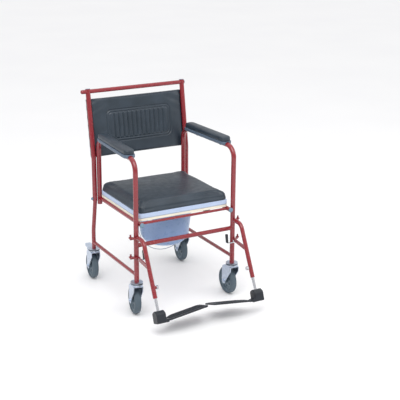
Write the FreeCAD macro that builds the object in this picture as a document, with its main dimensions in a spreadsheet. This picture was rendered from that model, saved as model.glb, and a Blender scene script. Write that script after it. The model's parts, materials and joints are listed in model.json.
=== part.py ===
import FreeCAD, Part
import math
import os
from types import SimpleNamespace

import Sketcher
from FreeCAD import Placement, Rotation, Vector

# Commode chair on castors, in millimetres. The chair faces -Y, +Z is up, and the origin
# lies on the floor under the middle of the overall box. "left" is -X, "right" is +X.

doc = FreeCAD.newDocument("CommodeChair")

# ---------------------------------------------------------------- driving dimensions
DIMENSIONS = dict(
    overall_height=920, wheelbase=460, rear_leg_depth=300, leg_half=240, foot_level=160,
    main_tube=22, slim_tube=19, brace_tube=16, rod_tube=12, tube_wall=1.5,
    arm_level=700, arm_bend=50, post_half=219, post_depth=264.5, post_foot=388,
    seat_rail_level=418, seat_rail_nose=-175, lower_rail_level=190, cross_tube_level=326.5,
    cane_foot_depth=273.5, cane_foot=402, cane_knee_depth=275.2, cane_knee=604,
    cane_top_depth=325, cane_bend=150, push_bar_level=905.5, grip_end=275,
    leg_knee=250, leg_bend=80,
    seat_width=440, seat_length=400, seat_centre=50, seat_corner=14,
    board_level=427.5, board_thick=10.5, panel_thick=22, cushion_thick=32, hole_width=220,
    pad_length=335, pad_width=54, base_thick=14, pad_thick=24,
    back_low=606, back_high=877, back_thick=16,
    bucket_depth=42, bucket_rim_level=406, bucket_floor_level=240, bucket_mouth=126,
    bucket_foot=104, bucket_round=55, bucket_wall=2.5,
    bail_wire=4, bail_half=131, bail_pivot=388, bail_low_level=200,
    wheel_radius=62.5, tread_width=30, trail=35, axle_bolt=8, fork_width=44, fork_sheet=3,
    hanger_level=366, hanger_root=-178, hanger_knee=-230.5, hanger_foot_depth=-336.5,
    hanger_foot=150, hanger_bend=36, peg_half=267, peg_wire=8, lower_peg_level=278,
    rod_width=13, rod_foot=78, plate_depth=96, plate_tip=12, plate_thick=7,
    pedal_reach=104, pedal_width=36, pedal_pin_depth=30, pedal_pin_level=136, pedal_pin=4,
)
sheet = doc.addObject("Spreadsheet::Sheet", "Sizes")
for row, (alias, number) in enumerate(DIMENSIONS.items(), start=1):
    sheet.set(f"A{row}", alias)
    sheet.set(f"B{row}", str(number))
    sheet.setAlias(f"B{row}", alias)
doc.recompute()


class Dim(float):
    """A length that remembers the spreadsheet formula it comes from."""

    def __new__(cls, number, formula):
        made = super().__new__(cls, number)
        made.formula = formula
        return made

    def __add__(self, other):
        return Dim(float(self) + float(other), f"({self.formula} + {formula_of(other)})")

    __radd__ = __add__

    def __sub__(self, other):
        return Dim(float(self) - float(other), f"({self.formula} - {formula_of(other)})")

    def __rsub__(self, other):
        return Dim(float(other) - float(self), f"({formula_of(other)} - {self.formula})")

    def __mul__(self, other):
        return Dim(float(self) * float(other), f"({self.formula} * {formula_of(other)})")

    __rmul__ = __mul__

    def __truediv__(self, other):
        return Dim(float(self) / float(other), f"({self.formula} / {formula_of(other)})")

    def __neg__(self):
        return Dim(-float(self), f"(0 - {self.formula})")


def formula_of(number):
    return number.formula if isinstance(number, Dim) else repr(float(number))


d = SimpleNamespace(**{a: Dim(float(sheet.get(a)), f"Sizes.{a}") for a in DIMENSIONS})

front_leg_depth = d.rear_leg_depth - d.wheelbase
cane_top = d.overall_height - 3.2  # the tilted end cap makes up the rest
SIDES = (("left", -1), ("right", 1))
# Turns that lay a body's own Z axis along a row axis.
ALONG_X = Rotation(Vector(0, 1, 0), 90)
ALONG_Y = Rotation(Vector(1, 0, 0), -90)
UPRIGHT = Rotation()
# A side view: the body's X axis runs towards the chair's front and its Z axis stays up.
FACING_FRONT = Rotation(Vector(0, 0, 1), -90)


# ---------------------------------------------------------------- sketch and feature helpers
def bind(target, name, number):
    if isinstance(number, Dim):
        target.setExpression(name, number.formula)
    else:
        setattr(target, name, number)


def new_body(label, place=(0, 0, 0), turn=UPRIGHT):
    body = doc.addObject("PartDesign::Body", label)
    body.Label = label
    body.Placement = Placement(Vector(*[float(c) for c in place]), turn)
    return body


def new_sketch(body, role="XY_Plane"):
    sketch = body.newObject("Sketcher::SketchObject", body.Name + "_sketch")
    plane = [f for f in body.Origin.OriginFeatures if f.Role == role][0]
    sketch.AttachmentSupport = [(plane, "")]
    sketch.MapMode = "FlatFace"
    return sketch


def constrain(sketch, kind, *places):
    """Adds a constraint whose last value may be bound to the sheet."""
    number = places[-1]
    index = sketch.addConstraint(Sketcher.Constraint(kind, *places[:-1], float(number)))
    if isinstance(number, Dim):
        sketch.setExpression(f"Constraints[{index}]", number.formula)


def pin_point(sketch, geometry, point, x, y):
    constrain(sketch, "DistanceX", -1, 1, geometry, point, x)
    constrain(sketch, "DistanceY", -1, 1, geometry, point, y)


def add_circle(sketch, x, y, radius):
    circle = Part.Circle(Vector(float(x), float(y), 0), Vector(0, 0, 1), float(radius))
    index = sketch.addGeometry(circle)
    pin_point(sketch, index, 3, x, y)
    constrain(sketch, "Radius", index, radius)


def add_outline(sketch, corners, closed=True):
    """Straight runs between corners given as (x, y) or, where rounded, (x, y, radius)."""
    count = len(corners)
    spots = [Vector(float(c[0]), float(c[1]), 0) for c in corners]
    rounded = [len(c) == 3 and (closed or 0 < i < count - 1) for i, c in enumerate(corners)]
    enter, leave, middle = list(spots), list(spots), [None] * count
    for i in range(count):
        if rounded[i]:
            back = (spots[i - 1] - spots[i]).normalize()
            ahead = (spots[(i + 1) % count] - spots[i]).normalize()
            half = back.getAngle(ahead) / 2
            radius = float(corners[i][2])
            enter[i] = spots[i] + back * (radius / math.tan(half))
            leave[i] = spots[i] + ahead * (radius / math.tan(half))
            middle[i] = spots[i] + (back + ahead).normalize() * (radius / math.sin(half))
    runs = range(count if closed else count - 1)
    lines = [sketch.addGeometry(Part.LineSegment(leave[i], enter[(i + 1) % count])) for i in runs]
    for i in range(count):
        before = lines[i - 1] if closed or i > 0 else None
        after = lines[i] if closed or i < count - 1 else None
        if not rounded[i]:
            anchor = (after, 1) if after is not None else (before, 2)
            pin_point(sketch, *anchor, corners[i][0], corners[i][1])
            if before is not None and after is not None:
                sketch.addConstraint(Sketcher.Constraint("Coincident", before, 2, after, 1))
            continue
        turns_left = (spots[i] - spots[i - 1]).cross(spots[(i + 1) % count] - spots[i]).z > 0
        first, last = (enter[i], leave[i]) if turns_left else (leave[i], enter[i])
        start = math.atan2(first.y - middle[i].y, first.x - middle[i].x)
        end = math.atan2(last.y - middle[i].y, last.x - middle[i].x)
        circle = Part.Circle(middle[i], Vector(0, 0, 1), float(corners[i][2]))
        arc = sketch.addGeometry(Part.ArcOfCircle(circle, start, end + 2 * math.pi * (end < start)))
        into, out = (1, 2) if turns_left else (2, 1)
        sketch.addConstraint(Sketcher.Constraint("Tangent", before, 2, arc, into))
        sketch.addConstraint(Sketcher.Constraint("Tangent", arc, out, after, 1))
        constrain(sketch, "Radius", arc, corners[i][2])
        corner = sketch.addGeometry(Part.Point(spots[i]), True)
        sketch.addConstraint(Sketcher.Constraint("PointOnObject", corner, 1, before))
        sketch.addConstraint(Sketcher.Constraint("PointOnObject", corner, 1, after))
        pin_point(sketch, corner, 1, corners[i][0], corners[i][1])


def pad(body, sketch, length, symmetric=False, downwards=False):
    feature = body.newObject("PartDesign::Pad", body.Name + "_pad")
    feature.Profile = sketch
    feature.SideType = "Symmetric" if symmetric else "One side"
    feature.Reversed = downwards
    bind(feature, "Length", length)
    return feature


def pocket(body, sketch, length=None, symmetric=True, upwards=False):
    """Cuts away the sketch, right through both ways unless a length is given."""
    feature = body.newObject("PartDesign::Pocket", body.Name + "_pocket")
    feature.Profile = sketch
    feature.SideType = "Symmetric" if symmetric else "One side"
    feature.Reversed = upwards
    if length is None:
        feature.Type = "ThroughAll"
    else:
        bind(feature, "Length", length)
    return feature


def revolve(body, sketch, axis="V_Axis"):
    feature = body.newObject("PartDesign::Revolution", body.Name + "_revolve")
    feature.Profile = sketch
    feature.ReferenceAxis = (sketch, [axis])
    feature.Angle = 360
    return feature


def sweep(body, path_corners, outer, wall=None):
    """A tube or rod along a bent path in the body's XZ plane that starts at its origin."""
    path = new_sketch(body, "XZ_Plane")
    add_outline(path, path_corners, closed=False)
    profile = new_sketch(body, "XY_Plane")
    add_circle(profile, 0, 0, outer / 2)
    if wall is not None:
        add_circle(profile, 0, 0, outer / 2 - wall)
    doc.recompute()
    feature = body.newObject("PartDesign::AdditivePipe", body.Name + "_pipe")
    feature.Profile = profile
    feature.Spine = (path, [f"Edge{n + 1}" for n in range(len(path.Shape.Edges))])
    return feature


def soften_top(body, level, radius):
    """Rounds every edge of the body's top face."""
    doc.recompute()
    block = body.Tip
    names = [f"Edge{n + 1}" for n, edge in enumerate(block.Shape.Edges)
             if min(v.Z for v in edge.Vertexes) > float(level) - 0.1]
    feature = body.newObject("PartDesign::Fillet", body.Name + "_fillet")
    feature.Base = (block, names)
    feature.Radius = radius


def straight_tubes(label, place, turn, length, outer, copes, cope_plane, offsets=(0,)):
    """Parallel tubes along the body's Z axis. Each cope fits an end round another tube."""
    body = new_body(label, place, turn)
    body.AllowCompound = True
    ring = new_sketch(body)
    for offset in offsets:
        add_circle(ring, offset, 0, outer / 2)
        add_circle(ring, offset, 0, outer / 2 - d.tube_wall)
    pad(body, ring, length)
    for along, width in copes:
        bite = new_sketch(body, cope_plane)
        for offset in offsets:
            add_circle(bite, offset, along, width / 2)
        pocket(body, bite)


def loose_solid(label, shape, place=(0, 0, 0), turn=UPRIGHT):
    """A group of small repeated pieces, or a solid no feature makes, as a plain shape."""
    feature = doc.addObject("Part::Feature", label)
    feature.Label = label
    feature.Shape = shape
    feature.Placement = Placement(Vector(*[float(c) for c in place]), turn)
    return feature


def turned(points, place=(0, 0, 0), turn=UPRIGHT):
    """A solid of revolution about Z from (radius, height) points, for small hardware."""
    outline = [Vector(float(r), 0, float(z)) for r, z in points]
    face = Part.Face(Part.makePolygon(outline + outline[:1]))
    solid = face.revolve(Vector(), Vector(0, 0, 1), 360)
    solid.Placement = Placement(Vector(*[float(c) for c in place]), turn)
    return solid


# ---------------------------------------------------------------- welded frame
def side_frame(side, sign):
    """Front leg, armrest and rear post bent from one tube; the armrest toes in to the back."""
    reach = math.hypot(d.leg_half - d.post_half, d.post_depth - front_leg_depth)
    toe_in = math.degrees(math.atan2(d.leg_half - d.post_half, d.post_depth - front_leg_depth))
    turn = Rotation(Vector(0, 0, 1), 90 + sign * toe_in)
    body = new_body(f"side_frame_{side}", (sign * d.leg_half, front_leg_depth, d.foot_level), turn)
    rise = d.arm_level - d.foot_level
    drop = d.post_foot - d.foot_level
    corners = ((0, 0), (0, rise, d.arm_bend), (reach, rise, d.arm_bend), (reach, drop))
    sweep(body, corners, d.main_tube, d.tube_wall)


def rear_leg(side, sign):
    """Rises plumb from the castor, leans forward to the seat and enters the cane's foot."""
    body = new_body(f"rear_leg_{side}", (sign * d.leg_half, d.rear_leg_depth, d.foot_level), FACING_FRONT)
    slope = float(d.cane_knee_depth - d.cane_foot_depth) / float(d.cane_knee - d.cane_foot)
    below, spigot = 8, 40
    lean = d.rear_leg_depth - d.cane_foot_depth + below * slope
    knee = d.leg_knee - d.foot_level
    neck = d.cane_foot - d.foot_level - below
    corners = ((0, 0), (0, knee, d.leg_bend), (lean, neck, 40), (lean - spigot * slope, neck + spigot))
    sweep(body, corners, d.slim_tube, d.tube_wall)


def cane(side, sign):
    """Back tube: nearly plumb beside the post, then leaning back above the armrest."""
    lower_run, lower_rise = d.cane_knee_depth - d.cane_foot_depth, d.cane_knee - d.cane_foot
    upper_run, upper_rise = d.cane_top_depth - d.cane_knee_depth, cane_top - d.cane_knee
    lower_lean = math.degrees(math.atan2(lower_run, lower_rise))
    upper_lean = math.degrees(math.atan2(upper_run, upper_rise))
    bend = math.radians(upper_lean - lower_lean)
    lower = math.hypot(lower_run, lower_rise)
    upper = math.hypot(upper_run, upper_rise)
    turn = Rotation(Vector(0, 0, 1), 90) * Rotation(Vector(0, 1, 0), lower_lean)
    body = new_body(f"cane_{side}", (sign * d.leg_half, d.cane_foot_depth, d.cane_foot), turn)
    corners = ((0, 0), (0, lower, d.cane_bend), (upper * math.sin(bend), lower + upper * math.cos(bend)))
    sweep(body, corners, d.main_tube, d.tube_wall)
    cross_hole = new_sketch(body, "XZ_Plane")
    below_top = float(cane_top - d.push_bar_level) / math.cos(math.radians(upper_lean))
    along = upper - below_top
    add_circle(cross_hole, along * math.sin(bend), lower + along * math.cos(bend), d.slim_tube / 2)
    pocket(body, cross_hole)
    return upper_lean


for side, sign in SIDES:
    side_frame(side, sign)
    rear_leg(side, sign)
    back_lean = cane(side, sign)
back_turn = Rotation(Vector(1, 0, 0), -back_lean)

slope_up = math.tan(math.radians(back_lean))
push_bar_depth = float(d.cane_top_depth) - float(cane_top - d.push_bar_level) * slope_up


def push_bar():
    """Handle tube through both canes, with a closed, rounded grip end beyond the left one."""
    body = new_body("push_bar", (-d.grip_end, push_bar_depth, d.push_bar_level), ALONG_X)
    half = new_sketch(body, "XZ_Plane")
    radius = d.slim_tube / 2
    length = d.grip_end + d.leg_half + d.main_tube / 2
    bore = radius - d.tube_wall
    add_outline(half, ((0, 0), (radius, 0, 7), (radius, length), (bore, length), (bore, 5), (0, 5)))
    revolve(body, half)


def cross_tubes():
    width = d.leg_half * 2
    straight_tubes(
        "cross_tube_front", (-d.leg_half, front_leg_depth, d.cross_tube_level), ALONG_X,
        width, d.slim_tube, ((0, d.main_tube), (width, d.main_tube)), "YZ_Plane",
    )
    run = d.rear_leg_depth - front_leg_depth
    straight_tubes(
        "lower_rails", (0, front_leg_depth, d.lower_rail_level), ALONG_Y,
        run, d.brace_tube, ((0, d.main_tube), (run, d.slim_tube)), "XZ_Plane", (-d.leg_half, d.leg_half),
    )


def seat_rails():
    """Two rails beside the legs, and the thin rods across them under the seat board."""
    nose = d.seat_rail_nose
    run = d.post_depth - nose
    straight_tubes(
        "seat_rails", (0, nose, d.seat_rail_level), ALONG_Y,
        run, d.slim_tube, ((run, d.main_tube),), "XZ_Plane", (-d.post_half, d.post_half),
    )
    rods = []
    for depth in (nose + 25, d.post_depth - 32):
        start = Vector(-d.post_half, depth, d.seat_rail_level)
        rod = Part.makeCylinder(d.rod_tube / 2, d.post_half * 2, start, Vector(1, 0, 0))
        for sign in (-1, 1):
            beside = Vector(sign * d.post_half, depth - 40, d.seat_rail_level)
            rod = rod.cut(Part.makeCylinder(d.slim_tube / 2, 80, beside, Vector(0, 1, 0)))
        rods.append(rod)
    loose_solid("seat_cross_rods", Part.Compound(rods))


def tube_plugs():
    """Moulded plugs in the open ends of the seat rails, the canes and the push bar."""
    bore = d.slim_tube / 2 - d.tube_wall
    nose = ((0, 0), (8, 0), (10.5, 2), (10.5, 5), (bore, 5), (bore, 22), (0, 22))
    cap = ((0, 0), (d.main_tube / 2, 0), (d.main_tube / 2, 1.5), (0, 1.5))
    plugs = []
    for sign in (-1, 1):
        plugs.append(turned(nose, (sign * d.post_half, d.seat_rail_nose - 5, d.seat_rail_level), ALONG_Y))
        plugs.append(turned(cap, (sign * d.leg_half, d.cane_top_depth, cane_top), back_turn))
    lid = ((0, 0), (d.slim_tube / 2, 0), (d.slim_tube / 2, 1.2), (0, 1.2))
    end = (d.leg_half + d.main_tube / 2, push_bar_depth, d.push_bar_level)
    plugs.append(turned(lid, end, ALONG_X))
    loose_solid("tube_plugs", Part.Compound(plugs))


def joint_bolts():
    """Bolts that tie cane, rear leg and post together, with domed caps outside."""
    level = d.cane_foot + 12
    bolts = []
    for sign in (-1, 1):
        start = d.leg_half + d.main_tube / 2
        cap = ((0, 0), (3, 0), (3, 0.2), (6.5, 0.2), (6.5, 4), (4, 7.5), (0, 7.5))
        turn = ALONG_X if sign > 0 else Rotation(Vector(0, 1, 0), -90)
        bolts.append(turned(cap, (sign * start, d.cane_foot_depth, level), turn))
    loose_solid("joint_bolt_caps", Part.Compound(bolts))


push_bar()
cross_tubes()
seat_rails()
tube_plugs()
joint_bolts()


# ---------------------------------------------------------------- seat
def rounded_slab(body, width, length, thick, corner):
    outline = new_sketch(body)
    half, reach = width / 2, length / 2
    around = ((-half, -reach), (half, -reach), (half, reach), (-half, reach))
    add_outline(outline, [(x, y, corner) for x, y in around])
    pad(body, outline, thick)


def egg_hole(body, width, length):
    """Round at the back and narrower towards the front."""
    hole = new_sketch(body)
    half, reach = width / 2, length / 2
    nose = half * 0.62
    corners = ((-nose, -reach, nose * 0.8), (nose, -reach, nose * 0.8),
               (half, reach, half * 0.78), (-half, reach, half * 0.78))
    add_outline(hole, corners)
    pocket(body, hole)


seat_rise = d.board_level
board = new_body("seat_board", (0, d.seat_centre, seat_rise))
rounded_slab(board, d.seat_width, d.seat_length, d.board_thick, d.seat_corner)
egg_hole(board, d.hole_width + 30, d.hole_width + 50)
panel = new_body("seat_panel", (0, d.seat_centre, seat_rise + d.board_thick))
rounded_slab(panel, d.seat_width, d.seat_length, d.panel_thick, d.seat_corner)
egg_hole(panel, d.hole_width, d.hole_width + 40)
cushion = new_body("seat_cushion", (0, d.seat_centre, seat_rise + d.board_thick + d.panel_thick + 0.3))
rounded_slab(cushion, d.seat_width, d.seat_length, d.cushion_thick, d.seat_corner * 2)
soften_top(cushion, d.cushion_thick, 14)


def bucket_runners():
    """Steel angles under the board that carry the bucket's rim."""
    length = d.seat_length - 60
    inside, outside = d.bucket_mouth + 2, d.bucket_mouth + 20
    shelf = d.bucket_rim_level - 4.3
    runners = []
    for sign in (-1, 1):
        corners = ((inside, shelf), (outside, shelf), (outside, d.board_level), (outside - 2, d.board_level),
                   (outside - 2, shelf + 2), (inside, shelf + 2))
        points = [Vector(sign * float(x), 0, float(z)) for x, z in corners]
        face = Part.Face(Part.makePolygon(points + points[:1]))
        runners.append(face.extrude(Vector(0, length, 0)))
    loose_solid("bucket_runners", Part.Compound(runners), (0, d.seat_centre - length / 2, 0))


TRUNNION = 5


def bucket():
    """Thin moulded pail with a flat rim that slides along the runners, and a stub for the bail each side."""
    body = new_body("bucket", (0, d.bucket_depth, d.bucket_floor_level))
    wall = new_sketch(body, "XZ_Plane")
    mouth = d.bucket_rim_level - d.bucket_floor_level
    rim = d.bucket_mouth + 14
    skin = d.bucket_wall
    corners = ((0, 0), (d.bucket_foot, 0, d.bucket_round), (d.bucket_mouth, mouth - 2), (rim, mouth - 2),
               (rim, mouth), (d.bucket_mouth - skin, mouth),
               (d.bucket_foot - skin, skin, d.bucket_round - skin), (0, skin))
    add_outline(wall, corners)
    revolve(body, wall)
    trunnion = d.bail_pivot - d.bucket_floor_level
    for sign in (-1, 1):
        stub = new_sketch(body, "YZ_Plane")
        stub.AttachmentOffset = Placement(Vector(0, 0, sign * float(d.bail_half + 3)), Rotation())
        add_circle(stub, 0, trunnion, TRUNNION / 2)
        pad(body, stub, 13, downwards=sign > 0)


bucket_runners()
bucket()


def bucket_bail():
    """Wire handle: two straight legs and a half circle, with eyes round the pail's trunnions."""
    eye = (TRUNNION + d.bail_wire) / 2 + 0.5
    start = d.bail_pivot - eye
    body = new_body("bucket_bail", (-d.bail_half, d.bucket_depth, start), Rotation(Vector(1, 0, 0), 180))
    width = d.bail_half * 2
    drop = start - d.bail_low_level
    round_corner = d.bail_half - 0.5
    sweep(body, ((0, 0), (0, drop, round_corner), (width, drop, round_corner), (width, 0)), d.bail_wire)
    for offset in (0, width):
        ring = new_sketch(body, "YZ_Plane")
        ring.AttachmentOffset = Placement(Vector(0, 0, float(offset)), Rotation())
        add_circle(ring, 0, -eye, eye + d.bail_wire / 2)
        add_circle(ring, 0, -eye, eye - d.bail_wire / 2)
        pad(body, ring, d.bail_wire - 1, symmetric=True)


bucket_bail()


# ---------------------------------------------------------------- armrests and back
def armrests():
    """Moulded bases saddled on the arm tubes, with padded tops that follow their toe-in."""
    toe_in = math.degrees(math.atan2(d.leg_half - d.post_half, d.post_depth - front_leg_depth))
    set_back = 4
    middle_half = (d.leg_half + d.post_half) / 2 - set_back * math.tan(math.radians(toe_in))
    middle_depth = (front_leg_depth + d.post_depth) / 2 + set_back
    bases = []
    for side, sign in SIDES:
        turn = Rotation(Vector(0, 0, 1), sign * toe_in)
        half, reach, corner = float(d.pad_width) / 2, float(d.pad_length) / 2, 20
        bar = Part.makeBox(half * 2, reach * 2, d.base_thick, Vector(-half, -reach, 0))
        upright = [e for e in bar.Edges if abs(e.tangentAt(e.FirstParameter).z) > 0.9]
        bar = bar.makeFillet(corner, upright)
        tube = Part.makeCylinder(d.main_tube / 2, reach * 3, Vector(0, -reach * 1.5, 0), Vector(0, 1, 0))
        bar = bar.cut(tube)
        bar.Placement = Placement(Vector(sign * middle_half, middle_depth, d.arm_level), turn)
        bases.append(bar)
        place = (sign * middle_half, middle_depth, d.arm_level + d.base_thick)
        top = new_body(f"arm_pad_{side}", place, turn)
        rounded_slab(top, d.pad_width - 2, d.pad_length - 2, d.pad_thick, 19)
        soften_top(top, d.pad_thick, 9)
    loose_solid("arm_bases", Part.Compound(bases))


def back_panel():
    """Padded panel between the canes whose hems wrap behind them."""
    foot = Vector(0, d.cane_knee_depth, d.cane_knee)
    rise = (d.back_low - d.cane_knee, d.back_high - d.cane_knee)
    body = new_body("back_panel", foot + back_turn.multVec(Vector(0, 0, rise[0])), back_turn)
    section = new_sketch(body)
    inner = d.leg_half - d.main_tube / 2 - 0.5
    outer = d.leg_half + 8
    hem_front = d.main_tube / 2 + 0.6
    front, rear = 1, d.back_thick - 2
    corners = ((-inner, front, 4), (inner, front, 4), (inner, hem_front), (outer, hem_front), (outer, rear),
               (-outer, rear), (-outer, hem_front), (-inner, hem_front))
    add_outline(section, corners)
    pad(body, section, rise[1] - rise[0])
    return foot, rise, rear


def upholstery_screws(foot, rise, rear):
    """Pan-head screws: three down each back hem, and two under each armrest."""
    head = ((0, 0), (4.5, 0), (4.5, 1), (3, 2.6), (0, 2.6))
    screws = []
    for sign in (-1, 1):
        for share in (0.1, 0.5, 0.9):
            along = rise[0] + (rise[1] - rise[0]) * share
            spot = foot + back_turn.multVec(Vector(sign * d.leg_half, rear, along))
            screws.append(turned(head, spot, back_turn * Rotation(Vector(1, 0, 0), -90)))
        for share in (0.25, 0.7):
            spot = (
                sign * (d.leg_half + (d.post_half - d.leg_half) * share),
                front_leg_depth + (d.post_depth - front_leg_depth) * share,
                d.arm_level - d.main_tube / 2,
            )
            screws.append(turned(head, spot, Rotation(Vector(1, 0, 0), 180)))
    loose_solid("upholstery_screws", Part.Compound(screws))


armrests()
upholstery_screws(*back_panel())


# ---------------------------------------------------------------- castors
# Each castor: a mount fixed in the leg, a fork that swivels, and a wheel that spins.
CASTORS = (
    ("front_left", -1, front_leg_depth, -10, d.main_tube),
    ("front_right", 1, front_leg_depth, -1, d.main_tube),
    ("rear_left", -1, d.rear_leg_depth, -6, d.slim_tube),
    ("rear_right", 1, d.rear_leg_depth, -7, d.slim_tube),
)
plate_level = d.foot_level - 4
crown_level = d.foot_level - 12


def castor_mount(place, leg_width):
    """Stem pressed into the leg, bearing plate and kingpin with its nut."""
    stem = leg_width / 2 - d.tube_wall - 0.05
    outline = ((0, crown_level - 12), (8, crown_level - 12), (8, crown_level - 6.5), (5, crown_level - 6.5),
               (5, plate_level - 1), (17, plate_level - 1), (27, plate_level + 2), (27, d.foot_level),
               (stem, d.foot_level), (stem, d.foot_level + 45), (0, d.foot_level + 48))
    return turned(outline, place)


def castor_fork(name, place, turn, braked):
    """Pressed steel: a dished crown with a bearing ring, and two cheeks down to the axle."""
    body = new_body(f"castor_fork_{name}", place, turn)
    crown = new_sketch(body, "XZ_Plane")
    corners = ((5.3, crown_level - 6), (22, crown_level - 6), (27, crown_level - 1),
               (27, crown_level + 3), (25, crown_level + 5.5), (20, crown_level + 5.5),
               (16, crown_level + 1), (5.3, crown_level + 1))
    add_outline(crown, corners)
    revolve(body, crown)
    cheeks = new_sketch(body, "YZ_Plane")
    axle = d.wheel_radius
    corners = ((-26, crown_level - 3, 3), (-25, crown_level - 26, 8), (d.trail - 15, axle, 10),
               (d.trail - 9, axle - 15, 9), (d.trail + 9, axle - 15, 9), (d.trail + 16, axle + 4, 10),
               (d.trail + 14, crown_level - 16, 14), (26, crown_level - 3, 3))
    add_outline(cheeks, corners)
    pad(body, cheeks, d.fork_width, symmetric=True)
    channel = new_sketch(body, "XZ_Plane")
    inside = d.fork_width / 2 - d.fork_sheet
    add_outline(channel, ((-inside, 0), (inside, 0), (inside, crown_level - 6), (-inside, crown_level - 6)))
    pocket(body, channel)
    kingpin_hole = new_sketch(body)
    add_circle(kingpin_hole, 0, 0, 5.3)
    pocket(body, kingpin_hole)
    axle_hole = new_sketch(body, "YZ_Plane")
    add_circle(axle_hole, d.trail, axle, d.axle_bolt / 2 + 0.05)
    if braked:
        add_circle(axle_hole, d.pedal_pin_depth, d.pedal_pin_level, d.pedal_pin / 2 + 0.05)
    pocket(body, axle_hole)


def castor_axle(name, place, turn):
    body = new_body(f"castor_axle_{name}", place, turn * ALONG_X)
    half = new_sketch(body, "XZ_Plane")
    cheek = d.fork_width / 2
    bolt = d.axle_bolt / 2
    corners = ((0, -cheek - 5), (6.5, -cheek - 5), (6.5, -cheek), (bolt, -cheek), (bolt, cheek), (6.5, cheek),
               (6.5, cheek + 5), (bolt, cheek + 5), (bolt, cheek + 7), (0, cheek + 7))
    add_outline(half, corners)
    revolve(body, half)


def castor_wheel(name, place, turn):
    rim = d.wheel_radius - 15
    hub = new_body(f"castor_hub_{name}", place, turn * ALONG_X)
    half = new_sketch(hub, "XZ_Plane")
    face = d.fork_width / 2 - d.fork_sheet - 0.6
    bore = d.axle_bolt / 2 + 0.06
    corners = ((bore, -face), (12, -face), (14, -6), (rim - 8, -4), (rim - 4, -11), (rim, -11), (rim, 11),
               (rim - 4, 11), (rim - 8, 4), (14, 6), (12, face), (bore, face))
    add_outline(half, corners)
    revolve(hub, half)
    lightening = new_sketch(hub)
    for n in range(6):
        angle = math.radians(60 * n)
        add_circle(lightening, 27 * math.cos(angle), 27 * math.sin(angle), 6.5)
    pocket(hub, lightening)
    tyre = new_body(f"castor_tyre_{name}", place, turn * ALONG_X)
    tread = new_sketch(tyre, "XZ_Plane")
    half_width = d.tread_width / 2
    shoulder = d.wheel_radius - 12
    corners = ((rim, -12), (shoulder, -half_width, 3), (d.wheel_radius, -half_width, 10),
               (d.wheel_radius, half_width, 10), (shoulder, half_width, 3), (rim, 12))
    add_outline(tread, corners)
    revolve(tyre, tread)


def brake_pedal(name, place, turn):
    """Foot pedal on a pin through the fork's cheeks; its shoe bears on the tread when pressed."""
    body = new_body(f"brake_pedal_{name}", place, turn)
    side_view = new_sketch(body, "YZ_Plane")
    pin, level, reach, top = d.pedal_pin_depth, d.pedal_pin_level, d.pedal_reach, crown_level
    corners = ((pin - 6, level - 5, 3), (pin + 6, level - 10, 2), (pin + 14, level - 5), (62, top - 7),
               (reach, top - 1, 1.5), (reach - 1, top + 3, 1.5), (60, top - 3, 14), (pin + 10, level + 6, 6),
               (pin - 6, level + 5, 4))
    add_outline(side_view, corners)
    pad(body, side_view, d.pedal_width, symmetric=True)
    plan = new_sketch(body)
    half = d.pedal_width / 2
    for sign in (-1, 1):
        add_outline(plan, ((sign * 30, 54), (sign * (half - 5), 60), (sign * half, 82, 8),
                           (sign * (half - 7), reach + 2), (sign * 30, reach + 2)))
    pocket(body, plan)
    pivot = new_sketch(body, "YZ_Plane")
    add_circle(pivot, pin, level, d.pedal_pin / 2)
    pad(body, pivot, d.fork_width + 3, symmetric=True)


castor_mounts = []
for name, sign, depth, yaw, leg_width in CASTORS:
    spot = Vector(sign * d.leg_half, depth, 0)
    turn = Rotation(Vector(0, 0, 1), yaw)
    axle_spot = spot + turn.multVec(Vector(0, d.trail, d.wheel_radius))
    castor_mounts.append(castor_mount(spot, leg_width))
    braked = name.startswith("rear")
    castor_fork(name, spot, turn, braked)
    castor_axle(name, axle_spot, turn)
    castor_wheel(name, axle_spot, turn)
    if braked:
        brake_pedal(name, spot, turn)
loose_solid("castor_mounts", Part.Compound(castor_mounts))


# ---------------------------------------------------------------- footrests
# Every hanger is drawn in a side view: X runs towards the front, Z is up, Y is across.


slant_tangent = (d.hanger_knee - d.hanger_foot_depth) / (d.hanger_level - d.hanger_foot)
rod_foot_depth = d.hanger_foot_depth - (d.hanger_foot - d.rod_foot) * slant_tangent
screw_level = 190
BOSS_HEIGHT = 4


def rod_axis():
    """Downward direction of the sloping hanger tube and its rod."""
    return Vector(0, -float(slant_tangent), -1).normalize()


def screw_place(sign):
    """Where the thumbscrew meets its boss on the tube, and the turn that faces it inwards."""
    depth = d.hanger_foot_depth + (screw_level - d.hanger_foot) * slant_tangent
    surface = d.leg_half - d.slim_tube / 2
    return (sign * (surface - BOSS_HEIGHT), depth, screw_level), Rotation(Vector(0, 1, 0), -90 * sign)


def in_front(depth):
    """Distance of a depth ahead of the hinge pegs' line, in the side view."""
    return front_leg_depth - depth


def leg_pegs():
    """Two L-shaped pins on the outside of each front leg that the footrest hangs on."""
    pegs = []
    for sign in (-1, 1):
        for level in (d.hanger_level, d.lower_peg_level):
            start = Vector(sign * d.leg_half, front_leg_depth, level - 6.8)
            end = Vector(sign * d.peg_half, front_leg_depth, level - 6.8)
            leg = Part.makeCylinder(d.main_tube / 2, 20, start - Vector(0, 0, 10))
            arm = Part.makeCylinder(d.peg_wire / 2, (end - start).Length, start, end - start)
            tip = Part.makeCylinder(d.peg_wire / 2, 20, end, Vector(0, 0, 1))
            elbow = Part.makeSphere(d.peg_wire / 2, end)
            pegs.append(arm.fuse([tip, elbow]).removeSplitter().cut(leg))
    loose_solid("leg_pegs", Part.Compound(pegs))


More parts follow.
